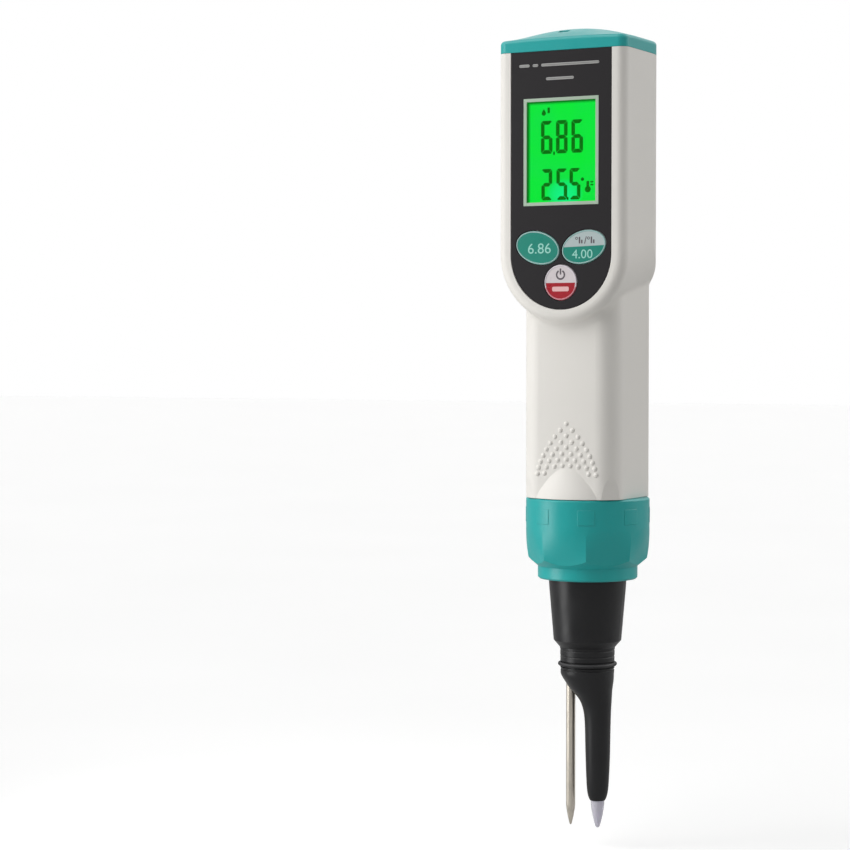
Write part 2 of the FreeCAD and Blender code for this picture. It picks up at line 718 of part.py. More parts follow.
def top_cap():
    base = TOP + dim.cap_gap
    cap = plan(HALF, FRONT, BACK, dim.head_corner, REAR_RADIUS, base, TOP + 20)
    cap = cap.common(crown_body())
    upper = [e for e in cap.Edges if e.CenterOfMass.z > TOP + 2.5 and e.BoundBox.ZLength < 2.5]
    cap = soften(cap, 1.3, upper, least=0.9)
    cap = cap.fuse(inner_plan(0.12, 1.0, 0.1, dim.skirt_low, base + 0.2))
    cap = cap.cut(inner_plan(1.9, 0.8, 1.8, dim.skirt_low - 1, TOP + 2.2))
    # gasket groove around the skirt
    groove = inner_plan(-1, 1.0, 0, GROOVE_LOW, GROOVE_HIGH)
    cap = cap.cut(groove.cut(inner_plan(1.0, 0.8, 0.9, 165.0, 168.0)))
    # small notch near the front of the crown
    cap = cap.cut(box(-3.1, 0.5, -17.2, -15.0, 173.8, 180))
    return cap.removeSplitter()


def cap_gasket():
    ring = inner_plan(0.05, 0.95, 0.05, GROOVE_LOW + 0.05, GROOVE_HIGH - 0.05)
    return ring.cut(inner_plan(0.96, 0.8, 0.86, 165.0, 168.0))


add_solid("top_cap", top_cap())
add_solid("cap_gasket", cap_gasket())

# ---------------------------------------------------------------- battery
CELLS = 4
STACK_TOP = linked("cell_low") + linked("cell_tall") * CELLS
TERMINAL_X = (-4.5, 4.5)
# leaf spring between board and tray terminal: y, z
LEAF = [(-13.34, 136.0), (-13.34, 146.0), (-13.04, 146.0), (-13.04, 141.7), (-8.1, 138.9),
        (-7.92, 138.2), (-8.6, 136.9), (-8.8, 137.2), (-8.3, 138.3), (-13.04, 141.1),
        (-13.04, 136.0)]


def battery_tray():
    stack_top, bay = STACK_TOP.value, dim.cell_round + 0.15
    tray = box(-8.2, 8.2, -7.5, 7.5, 128.0, TOP + 1)
    tray = tray.fuse(box(-12, 12, -9, 9, TOP + 0.6, TOP + 2.15))
    # cell bay, open towards the back
    tray = tray.cut(cyl_z(0, 0, bay, 130.5, stack_top + 0.6))
    tray = tray.cut(box(-bay, bay, 0, 9, 130.5, stack_top + 0.6))
    tray = tray.cut(box(-6, 6, -9, 9, stack_top + 3, TOP - 2))
    return tray.removeSplitter()


def button_cell(index):
    low = dim.cell_low + dim.cell_tall * index + 0.02
    can = Part.makeCylinder(dim.cell_round, dim.cell_tall - 0.55, V(0, 0, low + 0.5))
    can = can.makeFillet(0.4, edges_at(can, "z", low + dim.cell_tall - 0.05))
    pole = Part.makeCylinder(dim.cell_round - 0.9, 0.6, V(0, 0, low))
    return can.fuse(pole).removeSplitter()


def battery_spring():
    coil_radius, low = 3.6, 131.05
    helix = Part.makeHelix(0.95, 2.3, coil_radius)    # pitch, height, radius
    helix.Placement = FreeCAD.Placement(V(0, 0, low), FreeCAD.Rotation())
    section = Part.Circle(V(coil_radius, 0, low), V(0, 1, 0), 0.3)
    return Part.Wire(helix).makePipeShell([Part.Wire([section.toShape()])], True, True)


def contact_leaf(x):
    return face_of([V(x - 1.2, y, z) for y, z in LEAF]).extrude(V(2.4, 0, 0))


add_solid("battery_tray", battery_tray())
add_solids("button_cells", [button_cell(i) for i in range(CELLS)])
add_solid("battery_spring", battery_spring())
turned("contact_disc", rectangle(0, 5.2, STACK_TOP + 0.06, STACK_TOP + 0.4))
add_solids("tray_terminals", [box(x - 1.3, x + 1.3, -7.85, -7.54, 131.0, 156.0)
                              for x in TERMINAL_X])
add_solids("board_contacts", [contact_leaf(x) for x in TERMINAL_X])

# ---------------------------------------------------------------- electrode socket
THREAD_START, THREAD_TURNS = 11.0, 2.0
PINS = [(dim.pin_circle * math.cos(math.radians(angle)),
         dim.pin_circle * math.sin(math.radians(angle))) for angle in (45, 135, 225, 315)]


def add_thread(solid, root, crest, z):
    """Fuse on a helical ridge of trapezoid section that starts at height z."""
    out = 1 if crest > root else -1
    foot = root - 0.12 * out    # the ridge is sunk a little into the wall
    section = Part.makePolygon([V(foot, 0, z - 0.75), V(crest, 0, z - 0.3),
                                V(crest, 0, z + 0.3), V(foot, 0, z + 0.75),
                                V(foot, 0, z - 0.75)])
    helix = Part.makeHelix(dim.thread_pitch, dim.thread_pitch * THREAD_TURNS, (root + crest) / 2)
    helix.Placement = FreeCAD.Placement(V(0, 0, z), FreeCAD.Rotation())
    ridge = Part.Wire(helix).makePipeShell([section], True, True)
    # the kernel may fail to fuse the ridge soundly; the wall then stays plain
    try:
        threaded = solid.fuse(ridge)
        if (threaded.isValid() and len(threaded.Solids) == 1
                and threaded.Volume > solid.Volume + 5):
            return threaded
    except Exception:
        pass
    return solid


def electrode_socket():
    low, outside, neck = dim.spigot_low, dim.spigot_round, dim.neck_hole - 0.1
    socket = revolve([(0, low), (11.9, low), (11.9, low + 1.2), (13.7, low + 1.2), (13.7, low),
                      (outside, low), (outside, 25.85), (neck, 25.85), (neck, 34.6),
                      (10.3, 34.6), (10.3, low + 4.0), (0, low + 4.0)])
    socket = add_thread(socket, outside, dim.spigot_crest, THREAD_START)
    for x, y in PINS:
        socket = socket.cut(cyl_z(x, y, 0.75, 0, 20))
    return socket


def socket_nut():
    """Ring nut above the casing floor with four slots in its rim."""
    thick = 2.6
    level = linked("floor_top") + 0.05
    body = new_body("socket_nut")
    sketch = new_sketch(body, "XY_Plane", level, "nut_outline")
    circle(sketch, 0, 0, 13.6, "rim")
    circle(sketch, 0, 0, linked("neck_hole"), "bore")
    pad(body, sketch, thick, "nut_pad")
    sketch = new_sketch(body, "XY_Plane", level, "nut_slot")
    polygon(sketch, rectangle(12.7, 14.5, -1.2, 1.2))
    slot = pad(body, sketch, thick, "nut_slot_cut", kind="Pocket")
    slot.Reversed = True
    doc.recompute()
    pattern = body.newObject("PartDesign::PolarPattern", "nut_slots")
    pattern.Originals = [slot]
    pattern.Axis = (sketch, ["N_Axis"])
    pattern.Angle = 360
    pattern.Occurrences = 4
    body.Tip = pattern


def socket_contact(x, y):
    """Sleeve for a contact pin with a solder tail above."""
    sleeve = cyl_z(x, y, 0.7, 8.5, 14.2).cut(cyl_z(x, y, 0.56, 8.0, 13.6))
    return sleeve.fuse(cyl_z(x, y, 0.3, 14.0, 17.0))


def wire(points, radius):
    """Round conductor along straight runs with rounded bends."""
    pts = [V(*p) for p in points]
    section = Part.Wire([Part.Circle(pts[0], pts[1] - pts[0], radius).toShape()])
    return Part.makePolygon(pts).makePipeShell([section], True, False, 2)


def signal_wire(pin, place):
    """Wire from a socket contact up to its place in the row on the board."""
    x, y = pin
    end = -4.5 + 3.0 * place
    return wire([(x, y, 17.05), (x, y, 22), (x * 0.6, y * 0.6, 36), (end * 0.8, -4, 60),
                 (end, -10.5, 84), (end, -12.6, 92.0), (end, -12.75, 96.0)], 0.5)


add_solid("electrode_socket", electrode_socket())
turned("socket_gasket", [(linked("neck_hole") + 0.1, 25.9), (14.6, 25.9), (14.6, 26.45),
                         (linked("neck_hole") + 0.1, 26.45)])
socket_nut()
add_solids("socket_contacts", [socket_contact(x, y) for x, y in PINS])
add_solids("signal_wires", [signal_wire(pin, place) for pin, place in zip(PINS, (3, 1, 0, 2))])

# ---------------------------------------------------------------- locking collar
RIM = dim.collar_round
COS = math.cos(math.radians(22.5))    # apothem of an octagon over its corner radius


def facet_stations():
    """Height, mid-side distance and corner radius of the bowed octagons, from below up."""
    low, edge, top = dim.facet_low, dim.facet_edge, dim.facet_top
    round_off = RIM + 0.03
    rows = [(-2.0, low - 2.2, (low - 2.2) / COS), (2.0, low - 1.18, (low - 1.18) / COS)]
    for t in (1.0, 0.84, 0.68, 0.53, 0.39, 0.26, 0.14, 0.05):
        rows.append((top - (top - edge) * t,
                     round_off - (round_off - low) * t ** 1.6,
                     round_off - (round_off - low / COS) * t ** 2.6))
    return rows + [(top + 0.8, RIM + 0.06, RIM + 0.06), (30.0, RIM + 0.9, RIM + 0.9)]


def bowed_octagon(z, mid, corner):
    """Eight equal arcs: nearly straight when mid is the apothem, a circle when mid equals
    corner."""
    mid = max(mid, corner * COS + 0.02)

    def at(radius, degrees):
        angle = math.radians(degrees)
        return V(radius * math.cos(angle), radius * math.sin(angle), z)

    starts = [22.5 + 45 * i for i in range(8)]
    return Part.Wire([Part.Arc(at(corner, a), at(mid, a + 22.5), at(corner, a + 45)).toShape()
                      for a in starts])


def locking_collar():
    neck, neck_top, top = dim.collar_neck, dim.neck_top, dim.collar_top
    bore, lip = dim.bore_round, dim.lip_bore
    blank = revolve([(lip, 0.0), (neck - 0.5, 0.0), (neck, 0.5), (neck, neck_top),
                     (RIM, neck_top + (RIM - neck) * 0.85), (RIM, top - 0.5), (RIM - 0.5, top),
                     (bore, top), (bore, dim.lip_top), (lip, dim.lip_top)])
    # the flats are crisp at their lower edge and melt into the round band above
    facets = Part.makeLoft([bowed_octagon(*station) for station in facet_stations()], True, True)
    collar = blank.common(facets)
    # low grip ribs on the upper band, over the corners of the octagon
    band = revolve([(RIM - 0.9, 18.0), (RIM + 0.1, 18.0), (RIM + 0.1, 24.0), (RIM - 0.9, 24.0)])
    for i in range(8):
        rib = box(RIM - 1.0, RIM + 2.0, -2.75, 2.75, 18.4, 23.2)
        rib.rotate(V(0, 0, 0), V(0, 0, 1), 22.5 + 45 * i)
        collar = collar.fuse(rib.common(band))
    collar = collar.removeSplitter()
    # half a pitch above the start of the socket's ridge
    return add_thread(collar, bore, dim.bore_crest, THREAD_START + dim.thread_pitch / 2)


add_solid("locking_collar", locking_collar())

# ---------------------------------------------------------------- electrode
STEM_X, ROD_X = dim.stem_offset, dim.rod_offset
NECK, SHOULDER, UPPER = dim.probe_neck, dim.probe_shoulder, dim.probe_upper
# outside of the electrode with its neck grooves, from below up: radius, height
PROBE = [(0, -30.6), (8.73, -30.6), (8.76, -29.95), (8.35, -29.85), (8.35, -29.45),
         (8.8, -29.35), (8.8, -29.05), (8.25, -28.95), (8.25, -27.1), (8.8, -27.0),
         (NECK, -25.6), (8.7, -25.5), (8.7, -25.2), (NECK + 0.02, -25.1), (NECK + 0.02, -23.6),
         (8.75, -23.5), (8.75, -23.2), (NECK + 0.1, -23.1), (NECK + 0.12, -22.5),
         (SHOULDER, -20.2), (SHOULDER + 0.1, -19.2), (12.44, -3.4), (UPPER, -1.0),
         (UPPER, dim.flange_low), (dim.flange_round, dim.flange_low),
         (dim.flange_round, dim.flange_top), (0, dim.flange_top)]
# measuring stem, from above down: height, x of the centre, radius
STEM = [(-30.6, 0.0, 8.73), (-31.6, 0.05, 8.62), (-33.9, 0.72, 7.85), (-35.9, 1.28, 7.05),
        (-38.8, 2.62, 5.62), (-42.2, 3.42, 4.68), (-46.5, 3.70, 4.27), (-53.0, 3.74, 4.10),
        (-59.7, 3.76, 3.94), (-65.0, 3.74, 3.73), (-69.0, 3.72, 3.46), (-71.2, 3.70, 3.05),
        (-72.5, 3.68, 2.48)]


def electrode_body():
    rings = [Part.Wire([Part.Circle(V(x, 0, z), V(0, 0, 1), radius).toShape()])
             for z, x, radius in STEM]
    body = revolve(PROBE).fuse(Part.makeLoft(rings, True, False))
    # chamber under the flange, bores for the glass tube and for the temperature rod
    body = body.cut(revolve([(0, -16.0), (9.2, -16.0), (10.0, 5.6), (10.0, 10), (0, 10)]))
    body = body.cut(cyl_z(STEM_X, 0, 1.9, -74, -10))
    body = body.cut(cyl_z(ROD_X, 0, dim.rod_round + 0.06, -60, -10))
    return body.removeSplitter()


def neck_ring():
    ring = Part.makeTorus(8.98, 0.62, V(0, 0, -28.0))
    return ring.common(revolve(rectangle(8.3, 10, -29, -27)))


def pin_plate():
    body = new_body("pin_plate")
    sketch = new_sketch(body, "XY_Plane", 5.65, "pin_plate_outline")
    circle(sketch, 0, 0, 9.94, "rim")
    for i, (x, y) in enumerate(PINS):
        circle(sketch, x, y, 0.54, "pin%d" % i)
    pad(body, sketch, 2.0, "pin_plate_pad")


def contact_pin(x, y):
    top = 12.4
    pin = cyl_z(x, y, 0.5, 3.2, top)
    return pin.makeFillet(0.25, edges_at(pin, "z", top))


def probe_lead(start, pin):
    """Thin lead through the start points to the underside of a contact pin."""
    x, y = pin
    return wire(start + [(x, y, 0.5), (x, y, 3.15)], 0.28)


def rod_lead(x, bend, pin):
    """Lead that runs up the temperature rod at x and leaves it through the bend."""
    return probe_lead([(x, 0, -74.1), (x, 0, -40), (x, 0, -12), bend], pin)


add_solid("electrode_body", electrode_body())
add_solid("neck_ring", neck_ring())
add_solid("flange_seal", Part.makeTorus(12.8, 0.72, V(0, 0, 8.54)))
pin_plate()
add_solids("contact_pins", [contact_pin(x, y) for x, y in PINS])

# glass measuring tip with its inner tube, on the stem's axis
glass, rod, rod_radius = linked("glass_low"), linked("rod_low"), linked("rod_round")
turned("glass_tip", [
    (0, glass), (0.35, glass + 0.1), (0.7, glass + 0.45), (1.15, -79.6), (1.62, -77.6),
    (1.98, -75.6), (2.18, -73.9), (2.22, -72.62), (1.75, -72.56), (1.75, -8.0), (1.2, -8.0),
    (1.2, -71.8), (1.35, -73.2), (1.2, -75.4), (0.8, -77.6), (0.35, -79.2), (0, -79.6)],
    linked("stem_offset"))
turned("silver_wire", [(0, -78.0), (0.25, -77.8), (0.25, -4.5), (0, -4.5)],
       linked("stem_offset"))
turned("glass_stopper", rectangle(0.3, 1.7, -7.9, -6.4), linked("stem_offset"))
turned("temperature_rod", [
    (0, rod), (0.35, rod + 0.35), (0.95, -78.6), (1.36, -76.2), (rod_radius, -75.0),
    (rod_radius, -11.0), (1.15, -11.0), (1.15, -76.2), (0.7, -78.0), (0, -78.8)],
    linked("rod_offset"))
turned("thermistor", [(0, -78.0), (0.5, -77.4), (0.75, -76.4), (0.75, -74.6), (0.5, -74.2),
                      (0, -74.2)], linked("rod_offset"))
add_solids("probe_leads", [
    rod_lead(ROD_X - 0.55, (ROD_X, -1.2, -5), PINS[2]),
    rod_lead(ROD_X + 0.55, (ROD_X + 0.3, 1.2, -5), PINS[1]),
    probe_lead([(STEM_X, 0, -4.45), (STEM_X, 0.4, -2.5)], PINS[0]),
])

# ---------------------------------------------------------------- recompute, check, write
doc.recompute()
failed = [o.Label for o in doc.Objects if "Invalid" in o.State or "Error" in o.State]
for name, obj in PIECES.items():
    shape = obj.Shape
    if shape.isNull() or not shape.isValid() or len(shape.Solids) < 1:
        failed.append(name)
if failed:
    raise SystemExit("model has failed objects: " + ", ".join(failed))
os.makedirs("parts", exist_ok=True)
for name, obj in PIECES.items():
    obj.Shape.exportStep("parts/%s.step" % name)
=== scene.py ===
"""Handheld pH and temperature tester with a screw-on electrode.

It stands upright along Z with the electrode tip down. The display and keys face -Y (the front),
and +X is to the right seen from there. Positions on the piece are written in mm and multiplied
by MM; lights, floor and camera are in metres.
"""
import bpy
import bmesh
import math
from mathutils import Vector, Matrix
from mathutils.bvhtree import BVHTree

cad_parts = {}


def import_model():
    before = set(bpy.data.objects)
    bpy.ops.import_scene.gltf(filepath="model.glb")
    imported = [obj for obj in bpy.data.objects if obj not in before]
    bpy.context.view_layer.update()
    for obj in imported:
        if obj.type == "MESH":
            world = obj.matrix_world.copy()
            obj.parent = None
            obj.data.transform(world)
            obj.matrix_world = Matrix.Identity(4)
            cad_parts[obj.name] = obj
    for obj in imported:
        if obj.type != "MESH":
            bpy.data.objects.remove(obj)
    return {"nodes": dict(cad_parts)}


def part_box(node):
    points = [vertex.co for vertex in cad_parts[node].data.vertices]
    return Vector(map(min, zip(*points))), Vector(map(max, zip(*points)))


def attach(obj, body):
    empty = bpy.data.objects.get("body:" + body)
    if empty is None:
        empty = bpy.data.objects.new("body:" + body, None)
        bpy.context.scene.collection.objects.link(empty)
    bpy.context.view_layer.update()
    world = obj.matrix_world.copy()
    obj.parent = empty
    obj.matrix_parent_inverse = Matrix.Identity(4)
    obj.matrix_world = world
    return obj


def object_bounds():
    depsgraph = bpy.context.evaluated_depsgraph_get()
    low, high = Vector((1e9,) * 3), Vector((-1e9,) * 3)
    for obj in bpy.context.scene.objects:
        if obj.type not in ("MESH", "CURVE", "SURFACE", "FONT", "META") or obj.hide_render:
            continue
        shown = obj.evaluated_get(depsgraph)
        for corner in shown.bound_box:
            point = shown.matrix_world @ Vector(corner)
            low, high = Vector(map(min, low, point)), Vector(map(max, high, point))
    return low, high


MM = 0.001
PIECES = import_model()["nodes"]
cad_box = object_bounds()
scene = bpy.context.scene


# ------------------------------------------------------------------ colours and node graphs
def srgb(red, green, blue):
    """Linear RGBA from 8-bit sRGB."""
    def linear(channel):
        channel /= 255.0
        return channel / 12.92 if channel <= 0.04045 else ((channel + 0.055) / 1.055) ** 2.4
    return (linear(red), linear(green), linear(blue), 1.0)


def scaled(color, factor):
    return tuple(min(1, channel * factor) for channel in color[:3]) + (1.0,)


def color_socket(sockets, name):
    """The colour socket of a Mix node, which has several sockets of each name."""
    return next(s for s in sockets if s.name == name and s.type == "RGBA")


class Graph:
    """Builds a node tree. Each value it takes is a number, a colour or an output socket."""

    def __init__(self, owner, output_kind):
        self.owner = owner
        owner.use_nodes = True
        self.tree = owner.node_tree
        self.tree.nodes.clear()
        self.output = self.node(output_kind)
        self.coords = self.node("ShaderNodeTexCoord").outputs

    def feed(self, socket, value):
        if isinstance(value, bpy.types.NodeSocket):
            self.tree.links.new(value, socket)
        else:
            socket.default_value = value

    def node(self, kind, inputs=None, **settings):
        node = self.tree.nodes.new(kind)
        for key, value in settings.items():
            setattr(node, key, value)
        for key, value in (inputs or {}).items():
            self.feed(node.inputs[key], value)
        return node

    def noise(self, scale, detail=3.0, rough=0.55, stretch=(1, 1, 1)):
        mapping = self.node("ShaderNodeMapping",
                            {"Scale": stretch, "Vector": self.coords["Object"]})
        inputs = {"Scale": scale, "Detail": detail, "Roughness": rough,
                  "Vector": mapping.outputs["Vector"]}
        return self.node("ShaderNodeTexNoise", inputs).outputs["Fac"]

    def ramp(self, value, low, high, start=0.3, end=0.7):
        """Colour running from low at start to high at end."""
        node = self.node("ShaderNodeValToRGB", {"Fac": value})
        stops = ((start, low), (end, high))
        for element, (position, color) in zip(node.color_ramp.elements, stops):
            element.position = position
            element.color = color
        return node.outputs["Color"]

    def remap(self, value, source, target):
        """Map the (min, max) range source onto target."""
        inputs = {"Value": value, "From Min": source[0], "From Max": source[1],
                  "To Min": target[0], "To Max": target[1]}
        return self.node("ShaderNodeMapRange", inputs).outputs["Result"]

    def math(self, operation, first, second=None, clamp=False):
        inputs = {0: first} if second is None else {0: first, 1: second}
        node = self.node("ShaderNodeMath", inputs, operation=operation, use_clamp=clamp)
        return node.outputs["Value"]

    def mix(self, factor, first, second):
        node = self.node("ShaderNodeMix", {"Factor": factor}, data_type="RGBA")
        self.feed(color_socket(node.inputs, "A"), first)
        self.feed(color_socket(node.inputs, "B"), second)
        return color_socket(node.outputs, "Result")

    def axes(self, coordinate="Object"):
        """X, Y and Z outputs of a texture coordinate."""
        return self.node("ShaderNodeSeparateXYZ", {"Vector": self.coords[coordinate]}).outputs

    def soft_bump(self, height, strength, distance, bevel):
        """Normal with edges softened over bevel (mm) and bumps of the given height on top."""
        edge = self.node("ShaderNodeBevel", {"Radius": bevel * MM}, samples=4)
        inputs = {"Strength": strength, "Distance": distance, "Height": height,
                  "Normal": edge.outputs["Normal"]}
        return self.node("ShaderNodeBump", inputs).outputs["Normal"]

    def finish(self, surface):
        self.feed(self.output.inputs["Surface"], surface)
        return self.owner

    def finish_principled(self, **inputs):
        """Finish with a Principled shader; underscores in names stand for spaces."""
        named = {name.replace("_", " "): value for name, value in inputs.items()}
        return self.finish(self.node("ShaderNodeBsdfPrincipled", named).outputs["BSDF"])


def material_graph(name):
    return Graph(bpy.data.materials.new(name), "ShaderNodeOutputMaterial")


# ------------------------------------------------------------------ material recipes
SPREAD = (0.3, 0.7)    # the part of a noise's range that its variations are drawn from
GRAIN_GAIN = 6         # bump distance per unit of grain depth
BAND_BLUR = 0.06       # half height of the blend between two printed colours, mm


def with_lower_band(graph, upper, color, level, lean=0.0):
    """Put another colour below height level (mm); lean is the line's rise per unit of X."""
    axes = graph.axes()
    height = graph.math("SUBTRACT", axes["Z"], graph.math("MULTIPLY", axes["X"], lean))
    blend = ((level - BAND_BLUR) * MM, (level + BAND_BLUR) * MM)
    is_upper = graph.remap(height, blend, (0.0, 1.0))
    cloud = graph.noise(scale=60.0, detail=2.0, rough=0.5)
    lower = graph.ramp(cloud, scaled(color, 0.94), scaled(color, 1.06))
    return graph.mix(is_upper, lower, upper)


def plastic(name, color, rough=0.42, grain=5200.0, grain_depth=0.004, drift=0.04, bevel=0.25,
            coat=0.0, scuff=0.05, spec=0.5, cloud=26.0, lower_band=None):
    """Moulded plastic: fine grain, slight clouding (drift), softened edges, faint rubbed spots."""
    graph = material_graph(name)
    clouding = graph.noise(scale=cloud, detail=2.0, rough=0.5)
    base = graph.ramp(clouding, scaled(color, 1.0 - drift), scaled(color, 1.0 + drift),
                      start=0.35, end=0.68)
    specks = graph.noise(scale=900.0, detail=2.0, rough=0.7)
    rubbed = graph.remap(specks, (0.62, 0.80), (0.0, scuff))
    surface = graph.mix(rubbed, base, scaled(color, 1.25))
    if lower_band:
        surface = with_lower_band(graph, surface, **lower_band)
    gloss_noise = graph.noise(scale=140.0, rough=0.6)
    grain_noise = graph.noise(scale=grain, detail=2.0, rough=0.6)
    return graph.finish_principled(
        Base_Color=surface,
        Roughness=graph.remap(gloss_noise, SPREAD, (rough - 0.05, rough + 0.07)),
        Coat_Weight=coat,
        Coat_Roughness=0.12,
        Specular_IOR_Level=spec,
        Normal=graph.soft_bump(grain_noise, strength=0.35,
                               distance=grain_depth * MM * GRAIN_GAIN, bevel=bevel))


def metal(name, color, rough=0.3, stretch=(1, 1, 1), scale=2500.0, depth=0.3):
    """Drawn or turned metal with fine streaks and small stains."""
    graph = material_graph(name)
    streaks = graph.noise(scale=scale, rough=0.6, stretch=stretch)
    stains = graph.noise(scale=240.0, rough=0.6)
    base = graph.ramp(streaks, scaled(color, 0.86), scaled(color, 1.10))
    stained = graph.remap(stains, (0.55, 0.8), (0.0, 0.35))
    return graph.finish_principled(
        Base_Color=graph.mix(stained, base, scaled(color, 0.6)),
        Roughness=graph.remap(streaks, SPREAD, (rough - 0.07, rough + 0.10)),
        Metallic=1.0,
        Normal=graph.soft_bump(streaks, strength=depth, distance=0.01 * MM, bevel=0.1))


def window_material():
    """Clear window: see-through, with a weak reflection on its outward faces only."""
    reflection = 0.12    # share of the full Fresnel reflection
    graph = material_graph("window_clear_coat")
    smears = graph.noise(scale=300.0, detail=2.0, rough=0.6)
    glossy = graph.node("ShaderNodeBsdfGlossy",
                        {"Roughness": graph.remap(smears, SPREAD, (0.03, 0.10))})
    clouding = graph.noise(scale=40.0, detail=2.0, rough=0.5)
    tint = graph.ramp(clouding, (0.97, 0.99, 0.97, 1), (1, 1, 1, 1))
    clear = graph.node("ShaderNodeBsdfTransparent", {"Color": tint})
    fresnel = graph.node("ShaderNodeFresnel", {"IOR": 1.45}).outputs["Fac"]
    backfacing = graph.node("ShaderNodeNewGeometry").outputs["Backfacing"]
    outward = graph.math("SUBTRACT", 1.0, backfacing)
    amount = graph.math("MULTIPLY", graph.math("MULTIPLY", fresnel, outward), reflection)
    mixed = graph.node("ShaderNodeMixShader", {
        "Fac": amount, 1: clear.outputs["BSDF"], 2: glossy.outputs["BSDF"]})
    return graph.finish(mixed.outputs["Shader"])


def lcd_material():
    """Lit green display: brighter round a low lamp, with a painted shadow of the frame darkening
    its left and top edges.
    """
    lamp_x, lamp_rise = 0.8, 2.6      # lamp's X, and its height above the cell's foot, mm
    glow_radius = 5.0                 # mm
    glow_x_weight = 0.55              # below 1 the glow is wider than it is tall
    left_painted_shadow = (0.35, 1.25)         # painted frame shadow's end and full light, mm in from the left edge
    top_painted_shadow = (1.2, 0.4)            # full light and painted frame shadow's end, mm down from the top edge

    graph = material_graph("lcd_lit_green")
    axes = graph.axes()
    low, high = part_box("lcd_cell")
    left = graph.remap(axes["X"], [low.x + inset * MM for inset in left_painted_shadow], (0.0, 1.0))
    top = graph.remap(axes["Z"], [high.z - inset * MM for inset in top_painted_shadow], (1.0, 0.0))
    # share of the cell that lies outside the painted shadow of the frame
    outside_painted_shadow = graph.math("MULTIPLY", left, top, clamp=True)

    across = graph.math("SUBTRACT", axes["X"], lamp_x * MM)
    upward = graph.math("SUBTRACT", axes["Z"], low.z + lamp_rise * MM)
    across = graph.math("MULTIPLY", across, 1.0)
    across_squared = graph.math("POWER", graph.math("ABSOLUTE", across), 2.0)
    upward_squared = graph.math("POWER", graph.math("ABSOLUTE", upward), 2.0)
    across_squared = graph.math("MULTIPLY", across_squared, glow_x_weight)
    distance_squared = graph.math("ADD", across_squared, upward_squared)
    glow = graph.remap(distance_squared, (0.0, (glow_radius * MM) ** 2), (1.0, 0.0))

    blots = graph.noise(scale=120.0, detail=2.0, rough=0.5)
    base = graph.ramp(blots, srgb(3, 234, 52), srgb(9, 228, 66))
    glowing = graph.mix(graph.math("MULTIPLY", glow, 0.75), base, srgb(16, 244, 150))
    return graph.finish_principled(
        Base_Color=(0.002, 0.02, 0.004, 1),
        Roughness=0.3,
        Specular_IOR_Level=0.05,
        # the emission darkens to dark green inside the painted frame shadow
        Emission_Color=graph.mix(outside_painted_shadow, srgb(6, 120, 30), glowing),
        Emission_Strength=0.97)


def lcd_ink_material():
    """Dark display segments, lit like the green round them."""
    graph = material_graph("lcd_segment_dark")
    blots = graph.noise(scale=500.0, detail=2.0, rough=0.5)
    return graph.finish_principled(
        Emission_Color=graph.ramp(blots, srgb(0, 104, 6), srgb(2, 118, 14)),
        Base_Color=(0.0, 0.01, 0.0, 1),
        Specular_IOR_Level=0.05,
        Emission_Strength=0.9)


def glass_material():
    """Milky, faintly lavender glass, clear enough to show the wire inside as a grey streak."""
    graph = material_graph("probe_glass_milky")
    streaks = graph.noise(scale=260.0, rough=0.5, stretch=(1, 1, 0.25))
    return graph.finish_principled(
        Base_Color=graph.ramp(streaks, srgb(236, 233, 247), srgb(246, 244, 252)),
        Roughness=graph.remap(streaks, SPREAD, (0.06, 0.16)),
        Transmission_Weight=0.46,
        IOR=1.47,
        Coat_Weight=0.4)


def floor_material():
    """Pale matt floor that adds some brightness of its own towards the camera only."""
    graph = material_graph("floor_pale")
    clouding = graph.noise(scale=6.0, rough=0.5)
    camera_ray = graph.node("ShaderNodeLightPath").outputs["Is Camera Ray"]
    return graph.finish_principled(
        Base_Color=graph.ramp(clouding, (0.54, 0.54, 0.538, 1), (0.57, 0.57, 0.568, 1)),
        Roughness=0.85,
        Specular_IOR_Level=0.1,
        Emission_Color=(1, 1, 1, 1),
        Emission_Strength=graph.math("MULTIPLY", camera_ray, 0.54))


# ------------------------------------------------------------------ materials
KEY_TEAL = srgb(24, 140, 122)
KEY_FINISH = dict(rough=0.30, grain=6500, grain_depth=0.002, bevel=0.15, coat=0.12)

